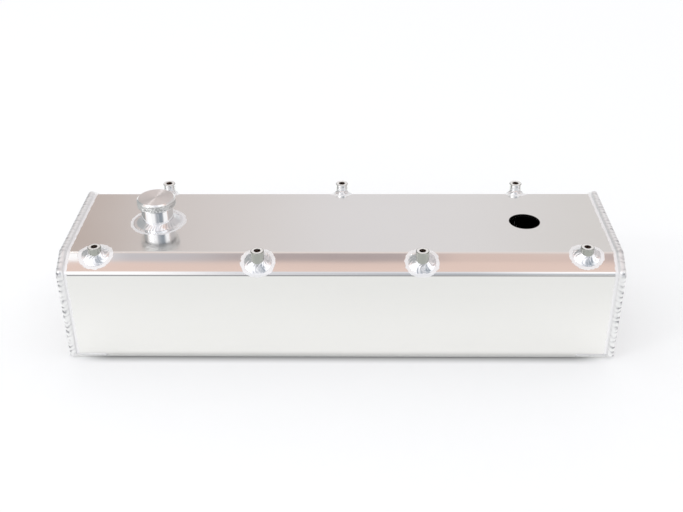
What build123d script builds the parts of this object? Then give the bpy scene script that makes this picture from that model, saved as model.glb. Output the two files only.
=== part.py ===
from build123d import *
import os
from math import atan2, copysign, cos, sin

# A fabricated aluminium valve cover for a seven-bolt V8 cylinder head, in millimetres.
# The origin is the centre of the gasket face. +X runs along the cover, with the filler
# at the -X end. -Y is the lower side with four bolts, +Y the upper side with three.

# Overall form
cover_length = 533.4
cover_width = 161.5
cover_height = 109.5  # from the gasket face to the flat top
slope_run = 20.25  # width of each sloping strip, seen from above
slope_drop = 12.4  # how far each sloping strip falls
sheet = 3.2  # thickness of the folded sheet
end_thickness = 3.2  # thickness of the end plates
bend_radius = 5.0  # outside radius of every fold

# Base rail
rail_thickness = 3.2
rail_width = 16.0
rail_corner_radius = 6.0
rail_edge_break = 0.8  # round the outside, next to the gasket
window_corner_radius = 8.0
bolt_pad_radius = 10.0
pad_blend_radius = 3.0

# Bolts
bolt_edge_distance = 10.3  # from a side of the cover to its bolt row
lower_bolt_end_distance = 32.7  # from an end of the cover to the nearest lower bolt
upper_bolt_end_distance = 82.7
outer_bolt_inset = 7.2  # how much further in the two outer lower bolts stand
bolt_hole_diameter = 6.6
tube_diameter = 12.7
tube_stand_out = 7.5  # how far the tubes stand above the flat top
tube_seat_depth = 1.6  # counterbore that locates each tube in the rail
tube_clearance = 0.1  # radial, in the rail and in the sheet
tube_edge_break = 0.5

# Filler and breather
filler_end_distance = 82.7
neck_thread_diameter = 25.4
neck_wall = 3.2
neck_height = 17.4  # above the flat top
neck_mouth_chamfer = 0.8
cap_overhang = 3.15  # past the neck
cap_thickness = 8.5
cap_top_chamfer = 1.5
cap_lower_chamfer = 0.7
thread_pitch = 2.1167
thread_turns = 5
thread_clearance = 0.3
thread_relief_length = 2.4
thread_relief_depth = 0.9
cap_wall = 3.4  # round the recess in the cap's underside
seal_thickness = 1.6
seal_clearance = 0.4  # between the seal and the edges of the neck
neck_clearance = 0.1
breather_end_distance = 82.7
breather_diameter = 31.0

# Welds
tube_weld_toe = 11.6  # radius of the weld's foot round a tube
tube_weld_leg = 8.0  # up the tube
tube_weld_head = 4.6  # radius of its cone's flat end, inside the tube
tube_weld_skirt = 4.0  # below its foot, where the sheet cuts it off
filler_weld_leg = 4.6  # up the neck
filler_weld_spread = 9.5  # out over the sheet
filler_weld_hollow = 0.4  # how far its face lies inside a straight one
end_weld_toe = 1.6  # how far the corner bead laps onto each plate
end_weld_crown = 5.9  # from the chord between its toes
rail_weld_radius = 2.0
rail_weld_sink = 0.8  # how far the bead's centre lies inside the faces that it joins
rail_weld_return = 29.0  # along each side, past the corner

# Worked out from the sizes above
half_length = cover_length / 2
half_width = cover_width / 2
slope_angle = atan2(slope_drop, slope_run)
tube_radius = tube_diameter / 2
tube_top = cover_height + tube_stand_out
tube_foot = rail_thickness - tube_seat_depth
bolt_row = half_width - bolt_edge_distance
lower_bolt_pitch = (cover_length - 2 * lower_bolt_end_distance) / 3
upper_bolt_pitch = half_length - upper_bolt_end_distance
lower_bolts = [
    (-1.5 * lower_bolt_pitch, outer_bolt_inset - bolt_row),
    (-0.5 * lower_bolt_pitch, -bolt_row),
    (0.5 * lower_bolt_pitch, -bolt_row),
    (1.5 * lower_bolt_pitch, outer_bolt_inset - bolt_row),
]
upper_bolts = [(step * upper_bolt_pitch, bolt_row) for step in (-1, 0, 1)]
filler_x = filler_end_distance - half_length
breather_x = half_length - breather_end_distance
neck_radius = neck_thread_diameter / 2 + neck_wall
cap_radius = neck_radius + cap_overhang
neck_top = cover_height + neck_height
cap_base = neck_top + seal_thickness

os.makedirs("parts", exist_ok=True)


def save(piece, node_name):
    piece.part.label = node_name
    export_step(piece.part, f"parts/{node_name}.step")


def shell_outline(inset):
    """Corners of the cover's section in (Y, Z), moved in from the outer faces by inset."""
    side = half_width - inset
    shoulder = cover_height - slope_drop - inset * cos(slope_angle) / (1 + sin(slope_angle))
    brow = half_width - slope_run - inset * sin(slope_angle) / (1 + cos(slope_angle))
    crown = cover_height - inset
    return [
        (-side, rail_thickness),
        (-side, shoulder),
        (-brow, crown),
        (brow, crown),
        (side, shoulder),
        (side, rail_thickness),
    ]


# Folded sheet: the two sides, the two sloping strips and the flat top
with BuildPart() as body_sheet:
    with BuildSketch(Plane.YZ):
        with BuildLine():
            outer_face = FilletPolyline(*shell_outline(0), radius=bend_radius)
            inner_face = FilletPolyline(*shell_outline(sheet), radius=bend_radius - sheet)
            Line(outer_face @ 0, inner_face @ 0)
            Line(outer_face @ 1, inner_face @ 1)
        make_face()
    extrude(amount=half_length - end_thickness, both=True)
    with BuildSketch(Plane.XY.offset(cover_height)):
        with Locations(*lower_bolts, *upper_bolts):
            Circle(tube_radius + tube_clearance)
        with Locations((filler_x, 0)):
            Circle(neck_radius + neck_clearance)
        with Locations((breather_x, 0)):
            Circle(breather_diameter / 2)
    extrude(amount=-slope_drop - 2 * sheet, mode=Mode.SUBTRACT)
save(body_sheet, "body_sheet")


# End plates: they close the section, corner to corner with the folded sheet
def end_plate(side):
    inner_x = side * (half_length - end_thickness)
    with BuildPart() as plate:
        with BuildSketch(Plane.YZ.offset(inner_x)):
            with BuildLine():
                rim = FilletPolyline(*shell_outline(sheet), radius=bend_radius - sheet)
                Line(rim @ 1, rim @ 0)
            make_face()
        extrude(amount=side * end_thickness)
    return plate


left_end_plate = end_plate(-1)
save(left_end_plate, "left_end_plate")
right_end_plate = end_plate(1)
save(right_end_plate, "right_end_plate")


# Window in the rail: rounded, and scalloped to leave a pad at each bolt
with BuildSketch() as window:
    RectangleRounded(
        cover_length - 2 * rail_width, cover_width - 2 * rail_width, window_corner_radius
    )
    rounded_corners = window.vertices()
    with Locations(*lower_bolts, *upper_bolts):
        Circle(bolt_pad_radius, mode=Mode.SUBTRACT)
    fillet(window.vertices() - rounded_corners, pad_blend_radius)

# Base rail: a plate ring on the gasket, with a tube seat in each pad
with BuildPart() as base_rail:
    with BuildSketch():
        RectangleRounded(cover_length, cover_width, rail_corner_radius)
        add(window.sketch, mode=Mode.SUBTRACT)
    extrude(amount=rail_thickness)
    gasket_face = base_rail.faces().sort_by(Axis.Z)[0]
    chamfer(gasket_face.outer_wire().edges(), rail_edge_break)
    with Locations(Plane.XY.offset(rail_thickness)):
        with Locations(*lower_bolts, *upper_bolts):
            CounterBoreHole(
                radius=bolt_hole_diameter / 2,
                counter_bore_radius=tube_radius + tube_clearance,
                counter_bore_depth=tube_seat_depth,
            )
save(base_rail, "base_rail")


# Bolt tubes: from their seats in the rail up through the sloping strips
def bolt_tube(place):
    with BuildPart() as tube:
        with BuildSketch(Plane.XY.offset(tube_foot)):
            with Locations(place):
                Circle(tube_radius)
                Circle(bolt_hole_diameter / 2, mode=Mode.SUBTRACT)
        extrude(amount=tube_top - tube_foot)
        mouth = tube.faces().sort_by(Axis.Z)[-1]
        chamfer(mouth.outer_wire().edges(), tube_edge_break)
    return tube


def skin_height(y):
    """Height of the folded sheet's outer face above the gasket face, without its bends."""
    past_brow = max(0, abs(y) - half_width + slope_run)
    return cover_height - slope_drop * past_brow / slope_run


# Fillet weld round a tube: a cone that leans with the sheet and stops at it and at the tube
def tube_weld(place):
    x, y = place
    uphill = skin_height(abs(y) - bolt_edge_distance)
    downhill = skin_height(abs(y) + bolt_edge_distance)
    lean = atan2(uphill - downhill, 2 * bolt_edge_distance)
    axis_tilt = Vector(0, copysign(sin(lean), y), cos(lean))
    middle = Vector(x, y, (uphill + downhill + tube_weld_leg) / 2)
    foot = middle - axis_tilt * (tube_weld_leg / 2)
    with BuildPart() as weld:
        with BuildSketch(Plane(origin=foot, x_dir=(1, 0, 0), z_dir=Vector(1, 0, 0).cross(axis_tilt))):
            with BuildLine():
                Polyline(
                    (0, -tube_weld_skirt),
                    (tube_weld_toe, -tube_weld_skirt),
                    (tube_weld_toe, 0),
                    (tube_weld_head, tube_weld_leg),
                    (0, tube_weld_leg),
                    close=True,
                )
            make_face()
        revolve(axis=Axis(foot, axis_tilt))
        with BuildSketch(Plane.XY.offset(rail_thickness)):
            with Locations(place):
                Circle(tube_radius)
        extrude(amount=tube_top - rail_thickness, mode=Mode.SUBTRACT)
        with BuildSketch(Plane.YZ.offset(x)):
            with BuildLine():
                skin = FilletPolyline(*shell_outline(0), radius=bend_radius)
                Line(skin @ 1, skin @ 0)
            make_face()
        extrude(amount=cover_width / 2, both=True, mode=Mode.SUBTRACT)
    return weld


for number, place in enumerate(lower_bolts, start=1):
    save(bolt_tube(place), f"lower_bolt_tube_{number}")
    save(tube_weld(place), f"lower_tube_weld_{number}")
for number, place in enumerate(upper_bolts, start=1):
    save(bolt_tube(place), f"upper_bolt_tube_{number}")
    save(tube_weld(place), f"upper_tube_weld_{number}")


# Corner weld: it fills the notch between the sheet's edge and the end plate, all round
def end_weld(side):
    with BuildPart() as weld:
        with BuildLine():
            path = FilletPolyline(
                *[(side * half_length, y, z) for y, z in shell_outline(0)], radius=bend_radius
            )
        start = Plane(origin=path @ 0, x_dir=(side, 0, 0), z_dir=path % 0)
        with BuildSketch(start):
            with BuildLine():
                lap = (-end_thickness - end_weld_toe, 0)
                tip = (0, side * (sheet + end_weld_toe))
                Polyline(
                    lap,
                    (-end_thickness, 0),
                    (-end_thickness, side * sheet),
                    (0, side * sheet),
                    tip,
                )
                SagittaArc(tip, lap, side * end_weld_crown)
            make_face()
        sweep(path=path)
    return weld


left_end_weld = end_weld(-1)
save(left_end_weld, "left_end_weld")
right_end_weld = end_weld(1)
save(right_end_weld, "right_end_weld")


# Seam weld of one end on the rail, with a short return along each side
def rail_weld(side, corner_weld):
    reach = half_length - rail_weld_sink
    edge = half_width - rail_weld_sink
    return_end = side * (reach - rail_corner_radius - rail_weld_return)
    with BuildPart() as weld:
        with BuildLine():
            path = FilletPolyline(
                (return_end, -edge, rail_thickness),
                (side * reach, -edge, rail_thickness),
                (side * reach, edge, rail_thickness),
                (return_end, edge, rail_thickness),
                radius=rail_corner_radius - rail_weld_sink,
            )
        with BuildSketch(Plane(origin=path @ 0, z_dir=path % 0)):
            Circle(rail_weld_radius)
        sweep(path=path)
        with BuildSketch(Plane.XY.offset(rail_thickness)):
            Rectangle(cover_length, cover_width)
        extrude(amount=rail_weld_radius, mode=Mode.SUBTRACT)
        add(base_rail.part, mode=Mode.SUBTRACT)
        add(corner_weld.part, mode=Mode.SUBTRACT)
    return weld


save(rail_weld(-1, left_end_weld), "left_rail_weld")
save(rail_weld(1, right_end_weld), "right_rail_weld")


# Filler neck: turned, open through, with a broken edge at its mouth
with BuildPart() as filler_neck:
    with BuildSketch(Plane.XY.offset(cover_height - sheet)):
        with Locations((filler_x, 0)):
            Circle(neck_radius)
            Circle(neck_thread_diameter / 2, mode=Mode.SUBTRACT)
    extrude(amount=neck_height + sheet)
    chamfer(filler_neck.faces().sort_by(Axis.Z)[-1].inner_wires().edges(), neck_mouth_chamfer)
save(filler_neck, "filler_neck")

# Fillet weld round the neck, hollow-faced and wide over the sheet
with BuildPart() as filler_weld:
    with BuildSketch(Plane.XZ):
        with BuildLine():
            heel = (filler_x + neck_radius, cover_height)
            toe = (filler_x + neck_radius + filler_weld_spread, cover_height)
            head = (filler_x + neck_radius, cover_height + filler_weld_leg)
            Polyline(toe, heel, head)
            SagittaArc(head, toe, -filler_weld_hollow)
        make_face()
    revolve(axis=Axis((filler_x, 0, 0), (0, 0, 1)))
save(filler_weld, "filler_weld")

# Flat seal between the neck's mouth and the cap
with BuildPart() as filler_cap_seal:
    with BuildSketch(Plane.XY.offset(neck_top)):
        with Locations((filler_x, 0)):
            Circle(neck_radius - seal_clearance)
            Circle(neck_thread_diameter / 2 + seal_clearance, mode=Mode.SUBTRACT)
    extrude(amount=seal_thickness)
save(filler_cap_seal, "filler_cap_seal")

# Screw cap: a thick turned head, a relief and a hollow threaded plug
thread_radius = neck_thread_diameter / 2 - thread_clearance
thread_length = thread_turns * thread_pitch
with BuildPart() as filler_cap:
    with BuildSketch(Plane.XY.offset(cap_base)):
        with Locations((filler_x, 0)):
            Circle(cap_radius)
    extrude(amount=cap_thickness)
    lower_rim, top_rim = filler_cap.edges().filter_by(GeomType.CIRCLE).sort_by(Axis.Z)
    chamfer(top_rim, cap_top_chamfer)
    chamfer(lower_rim, cap_lower_chamfer)
    with BuildSketch(Plane.XY.offset(cap_base)):
        with Locations((filler_x, 0)):
            Circle(thread_radius - thread_relief_depth)
    extrude(amount=-thread_relief_length)
    with BuildSketch(Plane.XY.offset(cap_base - thread_relief_length)):
        with Locations((filler_x, 0)):
            Circle(thread_radius)
    extrude(amount=-thread_length)
    with BuildSketch(Plane.XY.offset(cap_base - thread_relief_length - thread_length)):
        with Locations((filler_x, 0)):
            Circle(thread_radius - thread_relief_depth - cap_wall)
    extrude(amount=thread_relief_length + thread_length, mode=Mode.SUBTRACT)
save(filler_cap, "filler_cap")
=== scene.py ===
import bpy
import math
from mathutils import Matrix, Vector


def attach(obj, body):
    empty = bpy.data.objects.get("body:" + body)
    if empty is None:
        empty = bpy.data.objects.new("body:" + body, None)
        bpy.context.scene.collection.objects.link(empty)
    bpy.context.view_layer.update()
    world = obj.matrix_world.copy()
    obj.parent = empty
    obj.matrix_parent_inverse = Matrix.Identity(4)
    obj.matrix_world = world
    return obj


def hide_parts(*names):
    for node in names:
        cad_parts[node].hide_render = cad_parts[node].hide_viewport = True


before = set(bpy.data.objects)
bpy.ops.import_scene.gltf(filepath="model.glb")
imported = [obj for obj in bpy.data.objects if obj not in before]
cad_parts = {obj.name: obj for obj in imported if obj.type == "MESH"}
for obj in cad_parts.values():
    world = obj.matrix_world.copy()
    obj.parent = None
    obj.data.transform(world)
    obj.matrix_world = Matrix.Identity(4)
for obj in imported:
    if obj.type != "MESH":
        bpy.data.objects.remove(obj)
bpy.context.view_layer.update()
print("frame loaded")

# Main sizes of the cover, in metres, as the CAD has them
cover = {
    "halfLength": 0.2667,
    "halfWidth": 0.08075,
    "height": 0.1095,
    "slopeRun": 0.02025,
    "slopeDrop": 0.0124,
    "bendRadius": 0.005,
    "rail": 0.0032,
    "railCorner": 0.006,
    "plate": 0.0032,
    "lowerTubes": [(-0.234, -0.06325), (-0.078, -0.07045), (0.078, -0.07045), (0.234, -0.06325)],
    "upperTubes": [(-0.184, 0.07045), (0.0, 0.07045), (0.184, 0.07045)],
    "tubeRadius": 0.00635,
    "tubeTop": 0.117,
    "filler": (-0.184, 0.0),
    "neckRadius": 0.0159,
}
slopeAngle = math.atan2(cover["slopeDrop"], cover["slopeRun"])
brow = cover["halfWidth"] - cover["slopeRun"]  # half the flat top's width
shoulder = cover["height"] - cover["slopeDrop"]  # height where the sloping strip meets the side


# The folded skin, as a strip that can be laid flat
def onSkin(s):
    # s runs over the outer face from the middle of the top; gives y, z and the face's normal
    side = 1 if s >= 0 else -1
    s = abs(s)
    r = cover["bendRadius"]
    lowerTurn = math.pi / 2 - slopeAngle
    topRun = brow - r * math.tan(slopeAngle / 2)
    slopeLength = math.hypot(cover["slopeRun"], cover["slopeDrop"])
    slopeLength -= r * (math.tan(slopeAngle / 2) + math.tan(lowerTurn / 2))
    upperBendEnd = topRun + r * slopeAngle
    stripEnd = upperBendEnd + slopeLength
    lowerBendEnd = stripEnd + r * lowerTurn
    y1 = topRun + r * math.sin(slopeAngle)
    z1 = cover["height"] - r + r * math.cos(slopeAngle)
    y2 = y1 + slopeLength * math.cos(slopeAngle)
    z2 = z1 - slopeLength * math.sin(slopeAngle)
    if s <= topRun:
        y, z, turn = s, cover["height"], 0
    elif s <= upperBendEnd:
        turn = (s - topRun) / r
        y, z = topRun + r * math.sin(turn), cover["height"] - r + r * math.cos(turn)
    elif s <= stripEnd:
        turn = slopeAngle
        along = s - upperBendEnd
        y, z = y1 + along * math.cos(turn), z1 - along * math.sin(turn)
    elif s <= lowerBendEnd:
        turn = slopeAngle + (s - stripEnd) / r
        y = y2 + r * (math.sin(turn) - math.sin(slopeAngle))
        z = z2 + r * (math.cos(turn) - math.cos(slopeAngle))
    else:
        turn = math.pi / 2
        y, z = cover["halfWidth"], z2 - r * math.cos(slopeAngle) - (s - lowerBendEnd)
    return side * y, z, side * math.sin(turn), math.cos(turn)


def skinReach(y):
    # the s at which the skin reaches y, searched up to a little below the last bend
    low, high = 0.0, 0.0948
    for step in range(40):
        middle = (low + high) / 2
        if onSkin(middle)[0] < abs(y):
            low = middle
        else:
            high = middle
    return math.copysign(low, y)


# Node helpers
def addNode(tree, kind, **settings):
    node = tree.nodes.new(kind)
    for name, value in settings.items():
        setattr(node, name, value)
    return node


def feed(tree, socket, source):
    if isinstance(source, (int, float, tuple)):
        socket.default_value = source
    else:
        tree.links.new(source, socket)


def maths(tree, operation, *values, clamp=False):
    node = addNode(tree, "ShaderNodeMath", operation=operation, use_clamp=clamp)
    for socket, value in zip(node.inputs, values):
        feed(tree, socket, value)
    return node.outputs[0]


def times(tree, *values, clamp=False):
    return maths(tree, "MULTIPLY", *values, clamp=clamp)


def plus(tree, *values):
    return maths(tree, "ADD", *values)


def minus(tree, *values, clamp=False):
    return maths(tree, "SUBTRACT", *values, clamp=clamp)


def blendColour(tree, factor, first, second):
    node = addNode(tree, "ShaderNodeMix", data_type="RGBA")
    feed(tree, node.inputs["Factor"], factor)
    for socket, colour in ((node.inputs[6], first), (node.inputs[7], second)):
        feed(tree, socket, (*colour, 1.0) if isinstance(colour, tuple) else colour)
    return node.outputs[2]


def ease(tree, value, low, high, toLow=0.0, toHigh=1.0):
    node = addNode(tree, "ShaderNodeMapRange", interpolation_type="SMOOTHSTEP")
    for socket, item in zip(node.inputs, (value, low, high, toLow, toHigh)):
        feed(tree, socket, item)
    return node.outputs[0]


def addNoise(tree, place, scale, detail, seed=None, roughness=0.5):
    noise = addNode(tree, "ShaderNodeTexNoise", noise_dimensions="3D" if seed is None else "4D")
    values = {"Vector": place, "Scale": scale, "Detail": detail, "Roughness": roughness}
    if seed is not None:
        values["W"] = seed
    for label, value in values.items():
        feed(tree, noise.inputs[label], value)
    return noise.outputs["Fac"]


def objectPlace(tree):
    return tree.nodes.new("ShaderNodeTexCoord").outputs["Object"]


def splitPlace(tree, place):
    split = tree.nodes.new("ShaderNodeSeparateXYZ")
    tree.links.new(place, split.inputs[0])
    return split.outputs


def stretchedPlace(tree, x, y, z):
    # Object coordinates with each axis scaled by itself
    scale = tree.nodes.new("ShaderNodeCombineXYZ")
    for socket, value in zip(scale.inputs, (x, y, z)):
        feed(tree, socket, value)
    stretched = addNode(tree, "ShaderNodeVectorMath", operation="MULTIPLY")
    tree.links.new(objectPlace(tree), stretched.inputs[0])
    tree.links.new(scale.outputs[0], stretched.inputs[1])
    return stretched.outputs[0]


def newGroup(name, inputs, outputs):
    # a shader group whose sockets are all plain numbers
    group = bpy.data.node_groups.new(name, "ShaderNodeTree")
    for label, value in inputs.items():
        socket = group.interface.new_socket(label, in_out="INPUT", socket_type="NodeSocketFloat")
        socket.default_value = value
    for label in outputs:
        group.interface.new_socket(label, in_out="OUTPUT", socket_type="NodeSocketFloat")
    return group, group.nodes.new("NodeGroupInput").outputs, group.nodes.new("NodeGroupOutput").inputs


def useGroup(tree, group, **values):
    node = addNode(tree, "ShaderNodeGroup", node_tree=group)
    for label, value in values.items():
        feed(tree, node.inputs[label], value)
    return node.outputs


# Shared effects
def makeUnfolded():
    # lays the folded skin flat: X along the cover, S round it from the middle of the top
    group, source, target = newGroup("unfolded skin", {}, ["X", "S"])
    x, y, z = splitPlace(group, objectPlace(group))
    away = maths(group, "ABSOLUTE", y)
    flat = maths(group, "MINIMUM", away, brow)
    strip = maths(group, "MAXIMUM", minus(group, away, brow), 0.0)
    strip = maths(group, "DIVIDE", strip, math.cos(slopeAngle))
    wall = maths(group, "MAXIMUM", minus(group, shoulder, z), 0.0)
    reach = plus(group, plus(group, flat, strip), wall)
    signed = times(group, reach, maths(group, "SIGN", y))
    group.links.new(x, target["X"])
    group.links.new(signed, target["S"])
    return group


def makeEtchedRing():
    # a ragged round patch of etched metal about one weld
    sizes = {"X": 0.0, "S": 0.0, "Centre X": 0.0, "Centre S": 0.0, "Radius": 0.0165, "Softness": 0.0006,
             "Ragged": 0.0}
    group, source, target = newGroup("etched ring", sizes, ["Mask"])
    dx = minus(group, source["X"], source["Centre X"])
    ds = minus(group, source["S"], source["Centre S"])
    square = plus(group, times(group, dx, dx), times(group, ds, ds))
    distance = plus(group, maths(group, "SQRT", square), source["Ragged"])
    inner = minus(group, source["Radius"], source["Softness"])
    outer = plus(group, source["Radius"], source["Softness"])
    group.links.new(ease(group, distance, inner, outer, 1.0, 0.0), target["Mask"])
    return group


def makeHandled():
    # cloudy film and faint wipe marks, from 0 to 1
    sizes = {"Scale": 9.0, "Stretch": 1.0, "Seed": 0.0}
    group, source, target = newGroup("handled film", sizes, ["Film"])
    place = stretchedPlace(group, source["Stretch"], 1.0, 1.0)
    cloud = addNoise(group, place, source["Scale"], 5.0, source["Seed"], 0.55)
    group.links.new(ease(group, cloud, 0.3, 0.7), target["Film"])
    return group


def makeGrain():
    # fine straight scratches from brushing, along X
    group, source, target = newGroup("brushed grain", {"Across": 2600.0, "Along": 14.0}, ["Grain"])
    place = stretchedPlace(group, source["Along"], source["Across"], source["Across"])
    group.links.new(addNoise(group, place, 1.0, 3.0), target["Grain"])
    return group


unfolded = makeUnfolded()
etchedRing = makeEtchedRing()
handled = makeHandled()
brushed = makeGrain()


def addRings(tree, mask, x, s, centres, **values):
    # adds a round patch about each centre to a mask
    for centreX, centreS in centres:
        values.update({"X": x, "S": s, "Centre X": centreX, "Centre S": centreS})
        ring = useGroup(tree, etchedRing, **values)
        mask = maths(tree, "MAXIMUM", mask, ring["Mask"])
    return mask


def newMetal(name, colour, roughness):
    material = bpy.data.materials.new(name)
    material.use_nodes = True
    tree = material.node_tree
    shader = tree.nodes["Principled BSDF"]
    shader.inputs["Metallic"].default_value = 1.0
    shader.inputs["Base Color"].default_value = (*colour, 1.0)
    shader.inputs["Roughness"].default_value = roughness
    return material, tree, shader


def paintShadeBy(tree, shader, mark, amount, look):
    # painted shade: a mark kept on the mesh, broken up by the amount, darkens the metal to the look's
    # colour of that mark
    kept = addNode(tree, "ShaderNodeAttribute", attribute_name=mark)
    shade = times(tree, kept.outputs["Fac"], amount)
    colour = blendColour(tree, shade, look["colour"], look[mark])
    tree.links.new(colour, shader.inputs["Base Color"])


# Sheet and end plates
tubeWeld = {
    "rise": 0.0052,  # how far it climbs the tube
    "headLean": 0.0026,  # and how much more of that on the uphill side
    "toe": 0.0134,
    "uphill": 0.0008,  # how far its foot is centred up the slope
    "hollow": 0.25,
    "puddles": 15,
    "depth": 0.00026,  # of the valleys between puddles
    "shade": 1.0,
    "bow": 1.3,  # how far a puddle's middle runs ahead of its ends
    "wander": 1.2,
    "around": 210,
    "across": 18,
}
sheetLook = {
    "colour": (0.87, 0.862, 0.852),
    "etched": (0.93, 0.925, 0.935),
    "tint": 0.72,  # tone of the streaks and clouds
    "streaks": 0.07,
    "clouds": 0.03,
    "roughness": 0.075,
    "topRoughness": 0.15,
    "filmRoughness": 0.04,
    "etchedRoughness": 0.5,
    "etchedMetal": 0.5,
    "tubeHalo": 0.0166,
    "fillerHalo": 0.0279,
    "seamHalo": 0.0072,
    "footHalo": 0.0076,
    "haloSoftness": 0.0008,
    "raggedScale": 260.0,
    "raggedReach": 0.0034,
    "stripCrown": 1.7,
    "waves": 0.5,
    "scratches": 0.0012,
}


def etchedWithin(tree, distance, reach):
    soft = sheetLook["haloSoftness"]
    return ease(tree, distance, reach - soft, reach + soft, 1.0, 0.0)


def plateEtch(tree, y, z, offset):
    # the etched band inside the end plate's outline, and the one along its foot
    away = maths(tree, "ABSOLUTE", y)
    toSide = minus(tree, cover["halfWidth"], away)
    toTop = minus(tree, cover["height"], z)
    fall = times(tree, minus(tree, brow, away), math.tan(slopeAngle))
    toSlope = times(tree, plus(tree, toTop, fall), math.cos(slopeAngle))
    inside = maths(tree, "MINIMUM", maths(tree, "MINIMUM", toSide, toTop), toSlope)
    mask = etchedWithin(tree, plus(tree, inside, offset), sheetLook["seamHalo"])
    foot = etchedWithin(tree, plus(tree, z, offset), sheetLook["footHalo"])
    return maths(tree, "MAXIMUM", mask, foot)


def skinEtch(tree, skin, x, offset):
    # the etched bands along the sheet's two ends, and the rings round the tubes and the filler
    away = minus(tree, cover["halfLength"], maths(tree, "ABSOLUTE", x))
    mask = etchedWithin(tree, plus(tree, away, offset), sheetLook["seamHalo"])
    tubes = [(tubeX, skinReach(tubeY) - math.copysign(tubeWeld["uphill"], tubeY))
             for tubeX, tubeY in cover["lowerTubes"] + cover["upperTubes"]]
    for centres, halo in ((tubes, "tubeHalo"), ([(cover["filler"][0], 0.0)], "fillerHalo")):
        mask = addRings(tree, mask, skin["X"], skin["S"], centres, Ragged=offset, Radius=sheetLook[halo])
    return mask


def stripBulge(tree, reach):
    # the sloping strips stand slightly proud between their bends; the height is in millimetres
    middle = (brow + skinReach(cover["halfWidth"] - 1e-6)) / 2
    halfStrip = 0.012
    across = minus(tree, reach, middle)
    across = maths(tree, "MAXIMUM", maths(tree, "MINIMUM", across, halfStrip), -halfStrip)
    return times(tree, times(tree, across, across), -sheetLook["stripCrown"] * 1000.0)


def makeSheet(name, endPlate=False):
    look = sheetLook
    material, tree, shader = newMetal(name, look["colour"], look["roughness"])
    skin = useGroup(tree, unfolded)
    reach = maths(tree, "ABSOLUTE", skin["S"])
    place = objectPlace(tree)
    x, y, z = splitPlace(tree, place)
    ragged = addNoise(tree, place, look["raggedScale"], 2.0)
    offset = times(tree, minus(tree, ragged, 0.5), look["raggedReach"])
    mask = plateEtch(tree, y, z, offset) if endPlate else skinEtch(tree, skin, x, offset)
    film = useGroup(tree, handled, Scale=16.0, Stretch=0.5, Seed=3.0)["Film"]
    base = look["roughness"]
    if not endPlate:
        # the flat top is more handled than the strips and the sides
        base = ease(tree, reach, brow - 0.003, brow, look["topRoughness"], base)
    rough = addNode(tree, "ShaderNodeMix", data_type="FLOAT")
    feed(tree, rough.inputs["Factor"], mask)
    feed(tree, rough.inputs[2], maths(tree, "MULTIPLY_ADD", film, look["filmRoughness"], base))
    feed(tree, rough.inputs[3], look["etchedRoughness"])
    tree.links.new(rough.outputs[0], shader.inputs["Roughness"])
    metallic = maths(tree, "MULTIPLY_ADD", mask, look["etchedMetal"] - 1.0, 1.0)
    tree.links.new(metallic, shader.inputs["Metallic"])
    # broad brushing streaks and cloudy handling marks tint the clean metal
    streak = useGroup(tree, brushed, Across=520.0, Along=5.0)["Grain"]
    cloud = useGroup(tree, handled, Scale=11.0, Stretch=0.7, Seed=9.0)["Film"]
    streak = times(tree, streak, look["streaks"])
    shade = plus(tree, streak, times(tree, cloud, look["clouds"]))
    darker = tuple(look["tint"] * part for part in look["colour"])
    colour = blendColour(tree, shade, look["colour"], darker)
    colour = blendColour(tree, mask, colour, look["etched"])
    tree.links.new(colour, shader.inputs["Base Color"])
    # fine waves and scratches, in millimetres
    wave = times(tree, addNoise(tree, place, 7.0, 1.0), look["waves"])
    grain = useGroup(tree, brushed)["Grain"]
    height = plus(tree, wave, times(tree, grain, look["scratches"]))
    if not endPlate:
        height = plus(tree, height, stripBulge(tree, reach))
    bump = tree.nodes.new("ShaderNodeBump")
    bump.inputs["Strength"].default_value = 1.0
    bump.inputs["Distance"].default_value = 0.001
    tree.links.new(height, bump.inputs["Height"])
    tree.links.new(bump.outputs["Normal"], shader.inputs["Normal"])
    return material


# Other finishes
railLook = {"colour": (0.9, 0.9, 0.9), "roughness": 0.18, "grainRoughness": 0.12}
neckLook = {"colour": (0.9, 0.905, 0.91), "roughness": 0.05, "filmRoughness": 0.06}
sealLook = {"colour": (0.13, 0.13, 0.13), "roughness": 0.6}


def makeRail():
    material, tree, shader = newMetal("milled rail", railLook["colour"], railLook["roughness"])
    grain = useGroup(tree, brushed, Across=1500.0, Along=60.0)["Grain"]
    rough = maths(tree, "MULTIPLY_ADD", grain, railLook["grainRoughness"], railLook["roughness"])
    tree.links.new(rough, shader.inputs["Roughness"])
    return material


def makeNeck():
    material, tree, shader = newMetal("polished neck", neckLook["colour"], neckLook["roughness"])
    film = useGroup(tree, handled, Scale=60.0, Seed=8.0)["Film"]
    rough = maths(tree, "MULTIPLY_ADD", film, neckLook["filmRoughness"], neckLook["roughness"])
    tree.links.new(rough, shader.inputs["Roughness"])
    return material


def makeSeal():
    material, tree, shader = newMetal("rubber seal", sealLook["colour"], sealLook["roughness"])
    shader.inputs["Metallic"].default_value = 0.0
    return material


tubeLook = {
    # the near row's dark colour and the far row's light one are painted reflection, and so is the broken
    # edge's dark ring
    "colour": (0.42, 0.43, 0.4),
    "farRowPaintedReflection": (0.85, 0.86, 0.86),
    "roughness": 0.24,
    "lipColour": (0.97, 0.98, 0.97),
    "lipRoughness": 0.45,
    "lipDepth": 0.0002,
    "boreColour": (0.85, 0.74, 0.68),
    "boreRadius": 0.0045,
    "paintedEdgeReflection": (0.22, 0.23, 0.22),
    "edgeRadius": 0.0057,
    "ringSoftness": 0.0003,
}


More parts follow.
